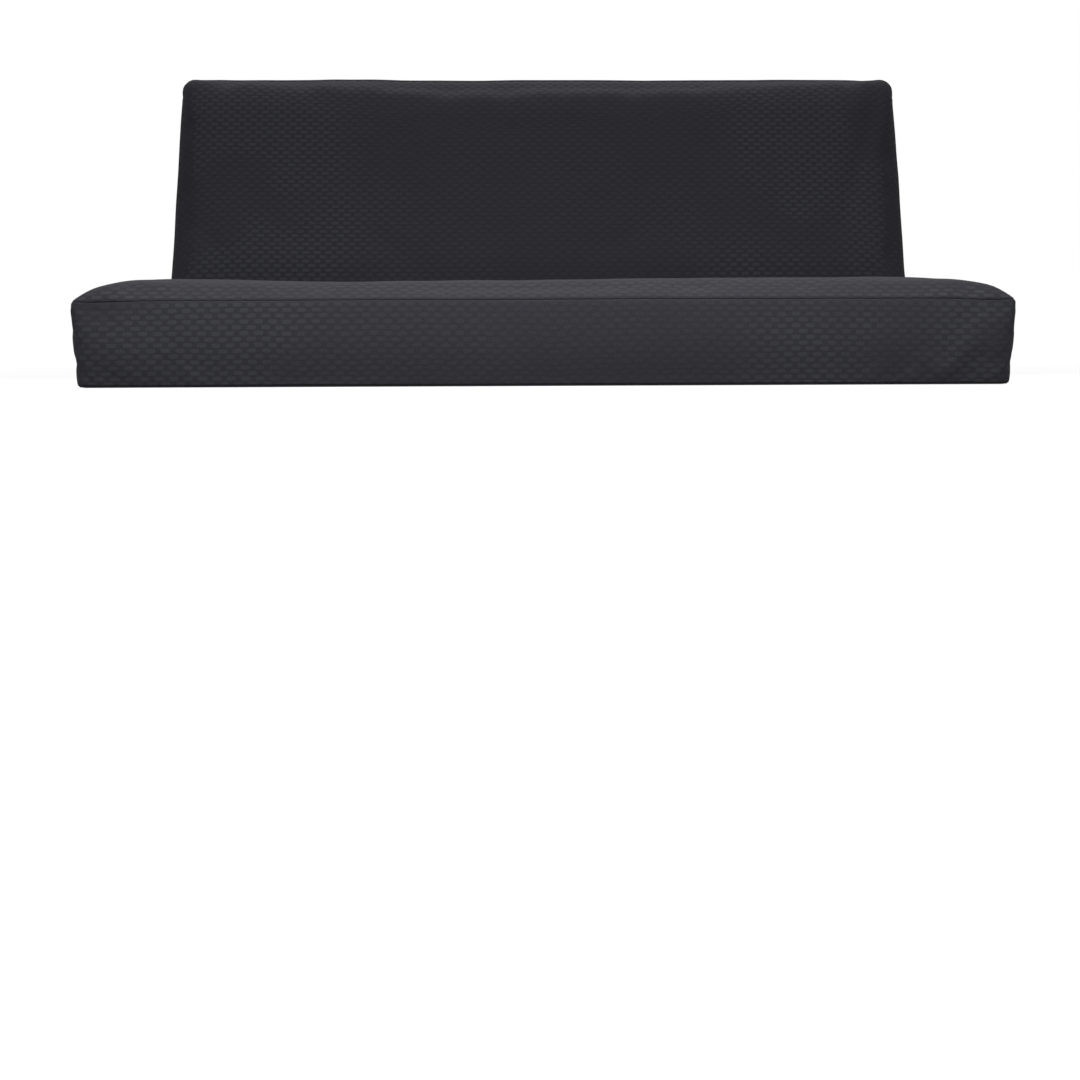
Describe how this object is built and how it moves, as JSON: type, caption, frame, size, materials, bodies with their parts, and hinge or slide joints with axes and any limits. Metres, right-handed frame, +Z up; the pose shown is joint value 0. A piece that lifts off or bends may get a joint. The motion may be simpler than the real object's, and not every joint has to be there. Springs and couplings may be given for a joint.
{
  "type": "futon mattress",
  "caption": "Thick full-size futon mattress in a dark woven zip cover, folded across its middle into a seat half and a leaning back half.",
  "frame": {"origin": "middle of the mattress's box, on the surface that the seat half lies on", "axes": "+X along the mattress's length, +Y from the seat's front edge towards the back half, +Z up"},
  "size_m": [1.905, 0.9736, 0.7922],
  "materials": {
    "cover_fabric": "matte",
    "ticking": "matte",
    "batting": "matte",
    "foam": "matte",
    "twine": "matte",
    "felt": "matte",
    "zip_tape": "matte",
    "zip_coil": "satin",
    "zip_metal": "satin",
    "label": "matte"
  },
  "bodies": {
    "seat_section": {"cover_face_seat": "cover_fabric", "cover_underside_seat": "cover_fabric", "front_boxing": "cover_fabric", "seat_boxing_left": "cover_fabric", "seat_boxing_right": "cover_fabric", "ticking_top_seat": "ticking", "ticking_bottom_seat": "ticking", "ticking_border_seat": "ticking", "top_batting_seat": "batting", "upper_foam_seat": "foam", "middle_batting_seat": "batting", "lower_foam_seat": "foam", "bottom_batting_seat": "batting", "tuft_ties_seat": "twine", "tuft_washers_seat": "felt", "cover_fold": "cover_fabric", "fold_boxing_left": "cover_fabric", "fold_boxing_right": "cover_fabric", "ticking_fold": "ticking", "fold_filling": "batting"},
    "back_section": {"cover_face_back": "cover_fabric", "cover_underside_back": "cover_fabric", "top_boxing": "cover_fabric", "zip_strip": "cover_fabric", "back_boxing_left": "cover_fabric", "back_boxing_right": "cover_fabric", "ticking_top_back": "ticking", "ticking_bottom_back": "ticking", "ticking_border_back": "ticking", "top_batting_back": "batting", "upper_foam_back": "foam", "middle_batting_back": "batting", "lower_foam_back": "foam", "bottom_batting_back": "batting", "tuft_ties_back": "twine", "tuft_washers_back": "felt", "zip_tapes": "zip_tape", "zip_coils": "zip_coil", "zip_stops": "zip_metal", "law_label": "label", "care_label": "label"},
    "zip_slider": {"zip_slider": "zip_metal"},
    "zip_pull": {"zip_pull": "zip_metal"}
  },
  "joints": [
    {"name": "back_fold", "type": "hinge", "parent": "seat_section", "child": "back_section", "pos_m": [0, 0.19917, 0.114], "axis": [-1, 0, 0], "range_deg": [0, 75], "deforming": ["cover_fold", "fold_boxing_left", "fold_boxing_right", "ticking_fold", "fold_filling"]},
    {"name": "zip_travel", "type": "slide", "parent": "back_section", "child": "zip_slider", "axis": [-1, 0, 0], "range_m": [0, 1.68]},
    {"name": "pull_flip", "type": "hinge", "parent": "zip_slider", "child": "zip_pull", "pos_m": [0.8405, 0.44851, 0.75863], "axis": [0, 0.9659, -0.2588], "range_deg": [0, 180]}
  ]
}
